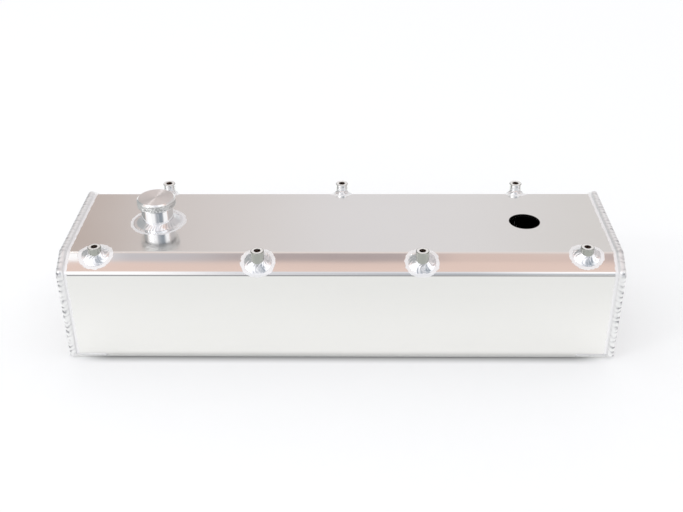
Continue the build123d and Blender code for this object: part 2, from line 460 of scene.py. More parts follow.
def makeTube():
    look = tubeLook
    material, tree, shader = newMetal("turned bolt tube", look["colour"], look["roughness"])
    x, y, z = splitPlace(tree, objectPlace(tree))
    # the faced end and the bore are given lighter colours than the tube's side, whose dark colour is
    # painted reflection
    lip = ease(tree, z, cover["tubeTop"] - look["lipDepth"], cover["tubeTop"] - look["lipDepth"] / 2)
    tubes = cover["lowerTubes"] + cover["upperTubes"]
    bore, clear = (addRings(tree, 0.0, x, y, tubes, Radius=look[radius], Softness=look["ringSoftness"])
                   for radius in ("boreRadius", "edgeRadius"))
    # painted reflection: the near row is coloured dark for the dim side of the room it mirrors, the far
    # row light for the bright top
    paintedFarReflection = ease(tree, y, -0.01, 0.01)
    colour = blendColour(tree, paintedFarReflection, look["colour"], look["farRowPaintedReflection"])
    colour = blendColour(tree, bore, colour, look["boreColour"])
    # the turned end is bright, and its broken edge is coloured dark as a painted reflection
    end = blendColour(tree, clear, look["paintedEdgeReflection"], look["lipColour"])
    tree.links.new(blendColour(tree, lip, colour, end), shader.inputs["Base Color"])
    step = look["lipRoughness"] - look["roughness"]
    tree.links.new(maths(tree, "MULTIPLY_ADD", lip, step, look["roughness"]), shader.inputs["Roughness"])
    return material


weldLooks = {
    # each look's valley colour is painted shade for the ripple valleys
    "tube": {
        "colour": (0.95, 0.953, 0.965),
        "shadedValley": (0.36, 0.38, 0.42),
        "roughness": 0.2,
        "film": 300.0,
        "metallic": 1.0,
    },
    "filler": {
        "colour": (0.9, 0.905, 0.92),
        "shadedValley": (0.36, 0.38, 0.42),
        "roughness": 0.16,
        "film": 130.0,
        "metallic": 0.95,
    },
    "end": {
        "colour": (0.89, 0.888, 0.893),
        "shadedValley": (0.2, 0.2, 0.22),
        "roughness": 0.34,
        "film": 220.0,
        "metallic": 0.7,
    },
    "rail": {
        "colour": (0.76, 0.763, 0.76),
        "shadedValley": (0.5, 0.52, 0.55),
        "roughness": 0.5,
        "film": 220.0,
        "metallic": 0.8,
    },
}


def makeWeld(name):
    look = weldLooks[name]
    material, tree, shader = newMetal(f"{name} weld metal", look["colour"], look["roughness"])
    shader.inputs["Metallic"].default_value = look["metallic"]
    film = useGroup(tree, handled, Scale=look["film"], Seed=5.0)["Film"]
    # painted shade: the ripple valleys darken the weld metal, broken up by the film
    paintShadeBy(tree, shader, "shadedValley", maths(tree, "MULTIPLY_ADD", film, 0.75, 0.25), look)
    rough = maths(tree, "MULTIPLY_ADD", film, 0.14, look["roughness"] - 0.05)
    tree.links.new(rough, shader.inputs["Roughness"])
    return material


capLook = {"colour": (0.86, 0.83, 0.82), "roughness": 0.3, "anisotropy": 1.0}
# the cut colour is painted shade in the knurl's cuts
knurlLook = {"colour": (0.93, 0.935, 0.93), "shadedCut": (0.2, 0.21, 0.2), "roughness": 0.2, "patches": 520.0}


def makeCapFace():
    # facing cuts run round the cap's axis, so the shine spreads along a radius
    material, tree, shader = newMetal("turned cap face", capLook["colour"], capLook["roughness"])
    shader.inputs["Anisotropic"].default_value = capLook["anisotropy"]
    shader.inputs["Anisotropic Rotation"].default_value = 0.25
    tangent = addNode(tree, "ShaderNodeTangent", direction_type="RADIAL", axis="Z")
    tree.links.new(tangent.outputs[0], shader.inputs["Tangent"])
    return material


def makeKnurl():
    material, tree, shader = newMetal("knurled rim", knurlLook["colour"], knurlLook["roughness"])
    film = useGroup(tree, handled, Scale=knurlLook["patches"], Seed=2.0)["Film"]
    # painted shade: the knurl's cuts, too fine to show, darken the rim in colour, broken up into patches
    paintShadeBy(tree, shader, "shadedCut", maths(tree, "MULTIPLY_ADD", film, 1.1, 0.2), knurlLook)
    return material


sheetMetal = makeSheet("brushed sheet")
plateMetal = makeSheet("brushed end plate", endPlate=True)
railMetal = makeRail()
tubeMetal = makeTube()
neckMetal = makeNeck()
sealRubber = makeSeal()
weldMetals = {name: makeWeld(name) for name in weldLooks}
capFace = makeCapFace()
knurled = makeKnurl()


def dress(node, material):
    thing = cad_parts[node]
    thing.data.materials.clear()
    thing.data.materials.append(material)


dress("body_sheet", sheetMetal)
dress("left_end_plate", plateMetal)
dress("right_end_plate", plateMetal)
dress("base_rail", railMetal)
dress("filler_neck", neckMetal)
dress("filler_cap_seal", sealRubber)
for row in ("lower", "upper"):
    for number in range(1, len(cover[f"{row}Tubes"]) + 1):
        dress(f"{row}_bolt_tube_{number}", tubeMetal)
print("finishes laid on")


# Geometry Nodes helpers
def newShaper(name, numbers, finishes):
    # a tree that takes a mesh, numbers and finishes, and gives a mesh
    tree = bpy.data.node_groups.new(name, "GeometryNodeTree")
    face = tree.interface
    face.new_socket("Geometry", in_out="INPUT", socket_type="NodeSocketGeometry")
    for label in numbers:
        face.new_socket(label, in_out="INPUT", socket_type="NodeSocketFloat")
    for label in finishes:
        face.new_socket(label, in_out="INPUT", socket_type="NodeSocketMaterial")
    face.new_socket("Geometry", in_out="OUTPUT", socket_type="NodeSocketGeometry")
    return tree, tree.nodes.new("NodeGroupInput").outputs, tree.nodes.new("NodeGroupOutput").inputs


def readMark(tree, name):
    node = addNode(tree, "GeometryNodeInputNamedAttribute", data_type="FLOAT")
    node.inputs["Name"].default_value = name
    return node.outputs["Attribute"]


def keepMark(tree, name, value):
    node = addNode(tree, "GeometryNodeStoreNamedAttribute", data_type="FLOAT", domain="POINT")
    node.inputs["Name"].default_value = name
    tree.links.new(value, node.inputs["Value"])
    return node


def shiftAlong(tree, direction, amount):
    shift = addNode(tree, "ShaderNodeVectorMath", operation="SCALE")
    tree.links.new(direction, shift.inputs[0])
    tree.links.new(amount, shift.inputs["Scale"])
    move = tree.nodes.new("GeometryNodeSetPosition")
    tree.links.new(shift.outputs[0], move.inputs["Offset"])
    return move


def paintWith(tree, finish):
    paint = tree.nodes.new("GeometryNodeSetMaterial")
    tree.links.new(finish, paint.inputs["Material"])
    return paint


def runThrough(tree, source, steps, target):
    # passes the mesh through the steps, one after another
    mesh = source["Geometry"]
    for step in steps:
        tree.links.new(mesh, step.inputs["Geometry"])
        mesh = step.outputs[0]
    tree.links.new(mesh, target["Geometry"])


def settleTree(name, mesh, tree, values):
    # runs a geometry tree on a mesh and keeps the plain result
    thing = bpy.data.objects.new(name, mesh)
    bpy.context.scene.collection.objects.link(thing)
    modifier = thing.modifiers.new(tree.name, "NODES")
    modifier.node_group = tree
    for item in tree.interface.items_tree:
        if item.in_out == "INPUT" and item.name in values:
            modifier[item.identifier] = values[item.name]
    shaped = thing.evaluated_get(bpy.context.evaluated_depsgraph_get())
    result = bpy.data.meshes.new_from_object(shaped)
    thing.modifiers.clear()
    thing.data = result
    result.name = name
    return thing


# Weld ripples: overlapping puddles along any bead
rippleShape = {
    "strayScale": 170.0,
    "patchScale": 120.0,
    "patchContrast": 3.2,
    "patchBias": -0.9,
    "sharpness": 0.6,
    "calmReach": 0.012,
    "calmDepth": 0.62,
}


def makeRipples(shape):
    tree, source, target = newShaper("weld ripples", (
        "Puddles", "Depth", "Shade", "Bow", "Wander", "Calm Height", "Outer Shade", "Seed"), ("Finish",))
    along, across = readMark(tree, "along"), readMark(tree, "across")
    place = tree.nodes.new("GeometryNodeInputPosition").outputs[0]
    stray = addNoise(tree, place, shape["strayScale"], 1.0, source["Seed"])
    stray = times(tree, minus(tree, stray, 0.5), source["Wander"])
    span = maths(tree, "MULTIPLY_ADD", across, 2.0, -1.0)
    square = times(tree, span, span)
    bowed = times(tree, square, source["Bow"])
    phase = times(tree, along, source["Puddles"])
    phase = plus(tree, minus(tree, phase, bowed), stray)
    crest = maths(tree, "ABSOLUTE", maths(tree, "SINE", times(tree, phase, math.pi)))
    shadedValley = minus(tree, 1.0, maths(tree, "POWER", crest, shape["sharpness"]))
    fade = minus(tree, 1.0, maths(tree, "POWER", square, 2.0), clamp=True)
    patch = addNoise(tree, place, shape["patchScale"], 1.0, plus(tree, source["Seed"], 7.0))
    uneven = maths(tree, "MULTIPLY_ADD", patch, shape["patchContrast"], shape["patchBias"], clamp=True)
    above = minus(tree, splitPlace(tree, place)["Z"], source["Calm Height"])
    calm = ease(tree, above, 0.0, shape["calmReach"], 1.0, shape["calmDepth"])
    dip = times(tree, times(tree, shadedValley, fade), times(tree, uneven, calm))
    # painted shade: the outer half of a bead can be coloured darker than its inner half
    inner = ease(tree, across, 0.15, 0.5, 1.0, 0.0)
    lean = minus(tree, 1.0, times(tree, inner, source["Outer Shade"]))
    # painted shade: how dark each point is coloured, kept as a mark for the weld metal
    shade = times(tree, dip, times(tree, lean, source["Shade"]))
    sink = times(tree, times(tree, dip, source["Depth"]), -1.0)
    runThrough(tree, source, (
        keepMark(tree, "shadedValley", shade),
        shiftAlong(tree, tree.nodes.new("GeometryNodeInputNormal").outputs[0], sink),
        tree.nodes.new("GeometryNodeSetShadeSmooth"),
        tree.nodes.new("GeometryNodeRealizeInstances"),
        paintWith(tree, source["Finish"])), target)
    return tree


ripples = makeRipples(rippleShape)


def turnOutward(mesh):
    volume = 0.0
    for polygon in mesh.polygons:
        corners = [mesh.vertices[i].co for i in polygon.vertices]
        for step in range(1, len(corners) - 1):
            volume += corners[0].dot(corners[step].cross(corners[step + 1]))
    if volume < 0:
        mesh.flip_normals()


def beadBase(name, rows, ring):
    # rows: (place along the bead from 0 to 1, outer points from toe to toe, hidden points)
    points, faces, along, across = [], [], [], []
    outer = len(rows[0][1])
    size = outer + len(rows[0][2])
    for place, shown, hidden in rows:
        points += shown + hidden
        along += [place] * size
        across += [step / (outer - 1) for step in range(outer)] + [0.0] * len(hidden)
    count = len(rows)
    for row in range(count if ring else count - 1):
        a, b = row * size, (row + 1) % count * size
        for step in range(size):
            after = (step + 1) % size
            faces.append((a + step, a + after, b + after, b + step))
    if not ring:
        faces.append(tuple(range(size))[::-1])
        faces.append(tuple((count - 1) * size + step for step in range(size)))
    mesh = bpy.data.meshes.new(name)
    mesh.from_pydata(points, [], faces)
    for label, values in (("along", along), ("across", across)):
        mesh.attributes.new(label, "FLOAT", "POINT").data.foreach_set("value", values)
    mesh.update()
    turnOutward(mesh)
    return mesh


def layBead(name, kind, node, rows, ring, look, puddles, seed):
    values = {"Puddles": float(puddles), "Seed": float(seed), "Finish": weldMetals[kind]}
    for label in ("depth", "shade", "bow", "wander"):
        values[label.capitalize()] = look[label]
    # only a corner weld has painted shade leaning to its outer half, and grows calm near the top
    values.update({"Outer Shade": look.get("lean", 0.0), "Calm Height": look.get("calmHeight", 1.0)})
    bead = settleTree(name, beadBase(name, rows, ring), ripples, values)
    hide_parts(node)
    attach(bead, "cover")


# How far a weld's edges sink into the metal they lie on, and how deep its hidden root goes
weldFit = {"toe": 0.00006, "wall": 0.00008, "rootMiddle": 0.0003, "root": 0.0004}


# Fillet welds round the bolt tubes
def tubeWeldRows(x, y, look):
    # its head leans with the strip, so it stands higher up the tube on the uphill side
    rows = []
    uphill = -math.copysign(1.0, y)
    reach = skinReach(y) + uphill * look["uphill"]
    inner = cover["tubeRadius"] - weldFit["wall"]
    axisHead = onSkin(skinReach(y))[1] + look["rise"]
    for step in range(look["around"]):
        turn = 2 * math.pi * step / look["around"]
        c, s = math.cos(turn), math.sin(turn)
        under = onSkin(skinReach(y + cover["tubeRadius"] * s))[1]
        top = Vector((x + inner * c, y + inner * s, axisHead + look["headLean"] * s * uphill))
        toeY, toeZ, ny, nz = onSkin(reach + look["toe"] * s)
        toe = Vector((x + look["toe"] * c, toeY - weldFit["toe"] * ny, toeZ - weldFit["toe"] * nz))
        # the flare bends in towards the corner between tube and skin
        corner = Vector((top.x, top.y, under))
        pull = (top + toe) / 2 + (corner - (top + toe) / 2) * look["hollow"]
        shown = []
        for k in range(look["across"] + 1):
            v = (k / look["across"]) ** 1.1
            shown.append(top * (1 - v) ** 2 + pull * 2 * v * (1 - v) + toe * v ** 2)
        low = Vector((top.x, top.y, under - weldFit["root"]))
        middle = (toe + low) / 2 - Vector((0.0, ny, nz)) * weldFit["rootMiddle"]
        rows.append((step / look["around"], shown, [middle, low]))
    return rows


for row, firstSeed in (("lower", 0), ("upper", 10)):
    for number, (x, y) in enumerate(cover[f"{row}Tubes"], start=1):
        rows = tubeWeldRows(x, y, tubeWeld)
        layBead(f"{row}TubeBead{number}", "tube", f"{row}_tube_weld_{number}", rows, True, tubeWeld,
                tubeWeld["puddles"], firstSeed + number)


# Fillet weld round the filler neck
neckWeld = {
    "leg": 0.0044,
    "toe": 0.0214,
    "skirt": 0.0006,  # its thickness between the bead's toe and its own foot
    "foot": 0.0254,
    "puddles": 38,
    "depth": 0.00022,
    "shade": 1.2,
    "bow": 0.7,
    "wander": 0.9,
    "around": 460,
    "across": 26,
}


def neckWeldRows(look):
    rows = []
    x0, y0 = cover["filler"]
    inner = cover["neckRadius"] - weldFit["wall"]
    for step in range(look["around"]):
        turn = 2 * math.pi * step / look["around"]
        c, s = math.cos(turn), math.sin(turn)
        shown = []
        for k in range(look["across"] + 1):
            # a steep bead against the neck, and a thin skirt where it wetted the sheet
            v = k / look["across"]
            r = inner + (look["foot"] - inner) * v
            bead = max(0.0, (look["toe"] - r) / (look["toe"] - inner))
            z = cover["height"] - weldFit["toe"] + look["leg"] * bead + look["skirt"] * (1 - v ** 4)
            shown.append(Vector((x0 + r * c, y0 + r * s, z)))
        low = Vector((x0 + inner * c, y0 + inner * s, cover["height"] - weldFit["root"]))
        rows.append((step / look["around"], shown, [low]))
    return rows


rows = neckWeldRows(neckWeld)
layBead("fillerBead", "filler", "filler_weld", rows, True, neckWeld, neckWeld["puddles"], 31)


# Corner welds along both ends
endWeld = {
    "lap": 0.0048,  # how far it reaches over the sheet and over the end plate
    "crown": 0.0059,
    "pitch": 0.0058,  # from one puddle to the next
    "depth": 0.0004,
    "shade": 2.4,
    "lean": 0.7,  # how much more painted shade its outer half gets than its inner half
    "calmHeight": 0.094,  # above it the ripples are softer
    "bow": 0.5,
    "wander": 1.6,
    "step": 0.0005,
    "across": 20,
}


def endWeldRows(side, look):
    # one round profile swept over the skin from the rail on one side to the rail on the other
    chord = look["lap"] * math.sqrt(2)
    radius = (chord ** 2 / 4 + look["crown"] ** 2) / (2 * look["crown"])
    centre = -look["lap"] / 2 + (look["crown"] - radius) / math.sqrt(2)
    half = math.asin(chord / 2 / radius)
    if look["crown"] > radius:
        half = math.pi - half
    full = skinReach(cover["halfWidth"] - 1e-7)
    while onSkin(full)[1] > cover["rail"]:
        full += 0.0001
    count = round(2 * full / look["step"])
    deep = -cover["plate"] - 0.0001
    rows = []
    for step in range(count + 1):
        y, z, ny, nz = onSkin(-full + 2 * full * step / count)
        z = max(z, cover["rail"])
        shown = []
        for k in range(look["across"] + 1):
            turn = math.pi / 4 - half + 2 * half * k / look["across"]
            a, h = centre + radius * math.sin(turn), centre + radius * math.cos(turn)
            shown.append(Vector((side * (cover["halfLength"] + a), y + ny * h, z + nz * h)))
        hidden = Vector((side * (cover["halfLength"] + deep), y + ny * deep, z + nz * deep))
        rows.append((step / count, shown, [hidden]))
    return rows, 2 * full


for side, name in ((-1, "left"), (1, "right")):
    rows, length = endWeldRows(side, endWeld)
    puddles = length / endWeld["pitch"]
    layBead(f"{name}EndBead", "end", f"{name}_end_weld", rows, False, endWeld, puddles, 50 + side)


# Seam welds on the rail
railWeld = {
    "radius": 0.002,
    "sink": 0.0008,
    "return": 0.029,  # its length along each side
    "pitch": 0.0046,
    "taper": 0.003,
    "depth": 0.00014,
    "shade": 0.3,
    "bow": 0.4,
    "wander": 0.3,
    "step": 0.0004,
    "across": 10,
}


def railWeldRows(side, look):
    # the path: in along one side, round the corner, over the end and out along the other side
    sink, r = look["sink"], cover["railCorner"] - look["sink"]
    edge, reach = cover["halfWidth"] - sink, cover["halfLength"] - sink
    legs = [("line", look["return"]), ("turn", r * math.pi / 2), ("line", 2 * (edge - r)),
            ("turn", r * math.pi / 2), ("line", look["return"])]
    total = sum(length for kind, length in legs)
    count = round(total / look["step"])
    half = math.acos(sink / look["radius"])
    rows = []
    for step in range(count + 1):
        left = total * step / count
        x, y, heading = reach - r - look["return"], -edge, 0.0
        for kind, length in legs:
            part = min(left, length)
            if kind == "line":
                x, y = x + part * math.cos(heading), y + part * math.sin(heading)
            else:
                cx, cy = x - r * math.sin(heading), y + r * math.cos(heading)
                heading += part / r
                x, y = cx + r * math.sin(heading), cy - r * math.cos(heading)
            left -= part
            if left <= 0:
                break
        # the bead starts and ends low
        ends = min(step, count - step) * look["step"]
        fade = min(1.0, 0.25 + ends / look["taper"]) ** 0.5
        outX, outY = math.sin(heading), -math.cos(heading)
        shown = []
        for k in range(look["across"] + 1):
            turn = -half + 2 * half * k / look["across"]
            out = look["radius"] * math.cos(turn) * fade + sink * (1 - fade) - 0.00005
            up = look["radius"] * math.sin(turn) * fade
            shown.append(Vector((side * (x + out * outX), y + out * outY, cover["rail"] + up)))
        root = weldFit["root"]
        hidden = Vector((side * (x - root * outX), y - root * outY, cover["rail"]))
        rows.append((step / count, shown, [hidden]))
    return rows, total


for side, name in ((-1, "left"), (1, "right")):
    rows, length = railWeldRows(side, railWeld)
    puddles = length / railWeld["pitch"]
    layBead(f"{name}RailBead", "rail", f"{name}_rail_weld", rows, False, railWeld, puddles, 70 + side)
print("welds laid")


# Filler cap: turned profile with a knurled rim
capShape = {
    "radius": 0.01905,
    "base": 0.1285,
    "thickness": 0.0085,
    "topChamfer": 0.0015,
    "lowChamfer": 0.0007,
    "around": 360,
    "teeth": 84,
    "knurlDepth": 0.0004,
    "knurlLean": 1.0,  # 1 crosses the cuts squarely
    "plugRadius": 0.0124,
    "reliefRadius": 0.0115,
    "reliefLength": 0.0024,
    "threadPitch": 0.0021167,
    "threadTurns": 5,
    "threadDepth": 0.0007,
    "recessRadius": 0.0081,
}


def makeKnurling():
    # crossed cuts round the rim and a spiral cut on the plug, from angle and height alone
    tree, source, target = newShaper("cap cuts", (
        "Axis X", "Axis Y", "Teeth", "Depth", "Outer Shade", "Low", "High", "Face Height", "Thread Pitch",
        "Thread Depth", "Thread Low", "Thread High"), ("Rim Finish", "Face Finish"))
    x, y, z = splitPlace(tree, tree.nodes.new("GeometryNodeInputPosition").outputs[0])
    dx = minus(tree, x, source["Axis X"])
    dy = minus(tree, y, source["Axis Y"])
    turn = maths(tree, "ARCTAN2", dy, dx)
    part = readMark(tree, "part")

    def cutOn(depth, wanted, low, high, steepness):
        # keeps a cut to one part of the profile, fading in from both its ends
        depth = times(tree, depth, maths(tree, "COMPARE", part, wanted, 0.1))
        fromLow = times(tree, minus(tree, z, low), steepness, clamp=True)
        fromHigh = times(tree, minus(tree, high, z), steepness, clamp=True)
        return times(tree, depth, times(tree, fromLow, fromHigh))

    rise = times(tree, minus(tree, z, source["Low"]), source["Outer Shade"])
    teeth = times(tree, turn, source["Teeth"])
    cuts = []
    for sign in (1.0, -1.0):
        wave = plus(tree, teeth, times(tree, rise, sign))
        cuts.append(maths(tree, "ABSOLUTE", maths(tree, "SINE", times(tree, wave, 0.5))))
    ridge = maths(tree, "MINIMUM", *cuts)
    knurl = times(tree, minus(tree, ridge, 1.0), source["Depth"])
    knurl = cutOn(knurl, 1.0, source["Low"], source["High"], 3000.0)
    turns = maths(tree, "DIVIDE", turn, 2 * math.pi)
    lead = plus(tree, maths(tree, "DIVIDE", z, source["Thread Pitch"]), turns)
    thread = times(tree, maths(tree, "PINGPONG", lead, 0.5), -2.0)
    groove = times(tree, thread, source["Thread Depth"])
    groove = cutOn(groove, 2.0, source["Thread Low"], source["Thread High"], 1200.0)
    outward = tree.nodes.new("ShaderNodeCombineXYZ")
    tree.links.new(maths(tree, "COSINE", turn), outward.inputs["X"])
    tree.links.new(maths(tree, "SINE", turn), outward.inputs["Y"])
    # how deep a point lies in a knurl cut, kept for the painted shade
    shadedCut = maths(tree, "DIVIDE", times(tree, knurl, -1.0), source["Depth"])
    paintFace = paintWith(tree, source["Face Finish"])
    tree.links.new(maths(tree, "GREATER_THAN", z, source["Face Height"]), paintFace.inputs["Selection"])
    runThrough(tree, source, (
        keepMark(tree, "shadedCut", shadedCut),
        shiftAlong(tree, outward.outputs[0], plus(tree, knurl, groove)),
        tree.nodes.new("GeometryNodeRealizeInstances"),
        paintWith(tree, source["Rim Finish"]),
        paintFace), target)
    return tree


def turnedMesh(name, axis, profile, around):
    # profile: (radius, height, part) from the top centre round to the lowest centre
    points, faces, parts, rings = [], [], [], []
    for r, z, part in profile:
        start, count = len(points), around if r > 0 else 1
        for step in range(count):
            turn = 2 * math.pi * step / around
            points.append((axis[0] + r * math.cos(turn), axis[1] + r * math.sin(turn), z))
        parts += [part] * count
        rings.append(range(start, start + count))
    for upper, lower in zip(rings, rings[1:]):
        for step in range(around):
            after = (step + 1) % around
            if len(upper) == 1:
                faces.append((upper[0], lower[step], lower[after]))
            elif len(lower) == 1:
                faces.append((upper[step], lower[0], upper[after]))
            else:
                faces.append((upper[step], lower[step], lower[after], upper[after]))
    mesh = bpy.data.meshes.new(name)
    mesh.from_pydata(points, [], faces)
    mesh.attributes.new("part", "FLOAT", "POINT").data.foreach_set("value", parts)
    mesh.update()
    return mesh


def evenly(radius, first, last, count, part):
    return [(radius, first + (last - first) * k / count, part) for k in range(count + 1)]


def makeCap(shape):
    top, low = shape["base"] + shape["thickness"], shape["base"]
    radius, chamfer, relief = shape["radius"], shape["topChamfer"], shape["reliefRadius"]
    rimHigh, rimLow = top - chamfer - 0.0002, low + shape["lowChamfer"]
    threadHigh = low - shape["reliefLength"]
    threadLow = threadHigh - shape["threadPitch"] * shape["threadTurns"]
    # the face and its broken edge
    profile = [(radius * k / 8, top, 0) for k in range(7)]
    profile += [(radius - chamfer - 0.00015, top, 0), (radius - chamfer, top - 0.00006, 0)]
    profile += [(radius - 0.0001, top - chamfer + 0.00012, 0)]
    # part 1 is the knurled rim and part 2 the threaded plug
    profile += evenly(radius, rimHigh, rimLow, 36, 1)
    profile += [(radius - shape["lowChamfer"], low, 0), (relief + 0.0002, low, 0)]
    profile += [(relief, low - 0.0002, 0), (relief, threadHigh + 0.0009, 0)]
    profile += evenly(shape["plugRadius"], threadHigh, threadLow, 60, 2)
    profile += [(shape["recessRadius"], threadLow, 0), (shape["recessRadius"], low, 0), (0.0, low, 0)]
    mesh = turnedMesh("knurledCap", cover["filler"], profile, shape["around"])
    cap = settleTree("knurledCap", mesh, makeKnurling(), {
        "Axis X": cover["filler"][0], "Axis Y": cover["filler"][1], "Teeth": float(shape["teeth"]),
        "Depth": shape["knurlDepth"], "Outer Shade": shape["teeth"] / radius * shape["knurlLean"],
        "Low": rimLow, "High": rimHigh, "Thread Pitch": shape["threadPitch"],
        "Thread Depth": shape["threadDepth"], "Thread Low": threadLow, "Thread High": threadHigh,
        "Face Height": top - 0.00004, "Rim Finish": knurled, "Face Finish": capFace})
    # only the rim and its low chamfer shade smoothly
    for polygon in cap.data.polygons:
        centre = polygon.center
        r = math.hypot(centre.x - cover["filler"][0], centre.y - cover["filler"][1])
        polygon.use_smooth = low < centre.z < top - chamfer + 0.0001 and r > 0.018
    return cap


cap = makeCap(capShape)
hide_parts("filler_cap")
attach(cap, "cap")
print("cap cut")

# Floor
# some entries paint a shadow along the cover's foot, a dark floor under it, and a glow near it seen in
# the metal
floorLook = {
    "colour": (0.9, 0.9, 0.905),
    "lift": 0.1,
    "paintedMirroredGlow": 0.17,
    "mirroredTone": (0.93, 0.935, 0.915),
    "beyond": (0.34, 0.34, 0.35),
    "paperEnd": (0.3, 0.5),
    "paintedGlowEnd": (0.08, 0.24),
    "paintedShadowTone": 0.25,
    "paintedShadowReach": 0.012,
    "paintedShadowEnd": 0.225,
    "under": (0.03, 0.025, 0.02),
    "paintedUnderShadeEdge": (0.004, 0.002),
}


def makeFloor():
    look = floorLook
    mesh = bpy.data.meshes.new("studioFloor")
    mesh.from_pydata([(-9, -9, 0), (9, -9, 0), (9, 9, 0), (-9, 9, 0)], [], [(0, 1, 2, 3)])
    floor = bpy.data.objects.new("studioFloor", mesh)
    bpy.context.scene.collection.objects.link(floor)
    floor.location.z = -0.0001
    material = bpy.data.materials.new("white floor")
    material.use_nodes = True
    tree = material.node_tree
    tree.nodes.clear()
    x, y, z = splitPlace(tree, objectPlace(tree))
    ahead = times(tree, y, -1.0)
    # painted light: as the metal mirrors it, the paper is given its brightest tone and a glow by the
    # cover, and ends in a dim room
    paperEnd = ease(tree, ahead, *look["paperEnd"])
    mirrored = blendColour(tree, paperEnd, look["mirroredTone"], look["beyond"])
    seen = tree.nodes.new("ShaderNodeLightPath")
    colour = blendColour(tree, seen.outputs["Is Glossy Ray"], look["colour"], mirrored)
    # painted shadow: the paper is darkened along the foot of the cover, and painted dark underneath it
    lengthwise = maths(tree, "ABSOLUTE", x)
    clear = minus(tree, maths(tree, "ABSOLUTE", y), cover["halfWidth"])
    paintedShadow = ease(tree, clear, -look["paintedShadowReach"] / 3, look["paintedShadowReach"], 1.0 - look["paintedShadowTone"], 0.0)
    paintedShadowEnd = ease(tree, lengthwise, look["paintedShadowEnd"], cover["halfLength"], 1.0, 0.0)
    paintedShadow = times(tree, paintedShadow, paintedShadowEnd)
    # painted shade: the floor under the cover is given a near-black colour
    outer, inner = look["paintedUnderShadeEdge"]
    under = ease(tree, lengthwise, cover["halfLength"] - outer, cover["halfLength"] - inner, 1.0, 0.0)
    under = times(tree, under, ease(tree, clear, -outer, -inner, 1.0, 0.0))
    colour = blendColour(tree, paintedShadow, colour, (0.0, 0.0, 0.0))
    colour = blendColour(tree, under, colour, look["under"])
    matt = tree.nodes.new("ShaderNodeBsdfDiffuse")
    tree.links.new(colour, matt.inputs["Color"])
    # painted light: the floor glows for glossy rays near the cover; for the camera an even lift keeps it
    # white; both are taken out under the painted shadow
    paintedNearGlow = ease(tree, ahead, *look["paintedGlowEnd"], look["paintedMirroredGlow"], 0.0)
    lift = times(tree, seen.outputs["Is Glossy Ray"], paintedNearGlow)
    lift = plus(tree, lift, times(tree, seen.outputs["Is Camera Ray"], look["lift"]))
    lift = times(tree, lift, minus(tree, 1.0, maths(tree, "MAXIMUM", paintedShadow, under)))
    glow = tree.nodes.new("ShaderNodeEmission")
    glow.inputs["Color"].default_value = (1.0, 1.0, 1.0, 1.0)
    tree.links.new(lift, glow.inputs["Strength"])
    both = tree.nodes.new("ShaderNodeAddShader")
    out = tree.nodes.new("ShaderNodeOutputMaterial")
    tree.links.new(matt.outputs[0], both.inputs[0])
    tree.links.new(glow.outputs[0], both.inputs[1])
    tree.links.new(both.outputs[0], out.inputs["Surface"])
    mesh.materials.append(material)


makeFloor()

# Studio room: soft tones by direction, white where the camera looks past the floor.
# A band is (from, softness, to, softness) in degrees over the top, from the front horizon.
# An edge is (from, to) sideways, from -1 at the far left to 1 at the far right, or with the
# values at both ends after it.
room = {
    "even": (0.97, 0.975, 0.985),
    "base": (0.86, 0.87, 0.88),
    "aside": (0.1, 0.22),
    "frontBand": (6, 4, 79, 1.5),
    "frontMiddle": (0.8, 0.8, 0.84),
    "frontSides": (1.2, 1.2, 1.22),
    "lowBand": (-20, 3, 3, 5),
    "lowMiddle": (0.24, 0.24, 0.25),
    "lowSides": (0.4, 0.4, 0.4),
    "dimBand": (12, 5, 42, 6),
    "dim": (0.3, 0.34, 0.39),
    "dimRightStart": (0.245, 0.275),
    "dimRightEnd": (0.62, 0.74, 1.0, 0.0),
    "dimMiddleStart": (-0.14, 0.1),
    "dimMiddleEnd": (0.245, 0.275, 0.75, 0.0),
    "warmBand": (79, 1.5, 92, 1.5),
    "warm": (0.86, 0.67, 0.6),
    "mauveBand": (86.8, 0.5, 92, 1.0),
    "mauve": (0.46, 0.39, 0.39),
    "mauveLeft": (0.6, 0.58, 0.61),
    "mauveTurn": (-0.2, -0.08),
    "mauveFade": (0.04, 0.1, 1.0, 0.25),
    "mauveReturn": (0.228, 0.236, 0.0, 0.6),
    "glintBand": (87.0, 0.4, 93, 1.0),
    "glintEnd": (-0.258, -0.24, 1.0, 0.0),
    "overheadBand": (93, 1.5, 138, 5),
    "overhead": (0.84, 0.76, 0.73),
    "backBand": (142, 3, 168, 5),
    "backHalf": 0.3,
    "back": [(-0.26, (0.56, 0.47, 0.43)), (-0.2, (0.69, 0.635, 0.62)), (-0.1, (0.75, 0.71, 0.7)),
             (-0.02, (0.8, 0.78, 0.79)), (0.12, (0.8, 0.78, 0.785)), (0.22, (0.745, 0.72, 0.705))],
    "sideLeft": (0.42, 0.43, 0.43),
    "sideRight": (0.62, 0.59, 0.59),
    "sideStart": (0.34, 0.44),
    "lampAim": (-0.332, 0.387, 0.86),
    "lampEdge": (0.9955, 0.998),
    "lamp": (3.4, 3.4, 3.4),
}


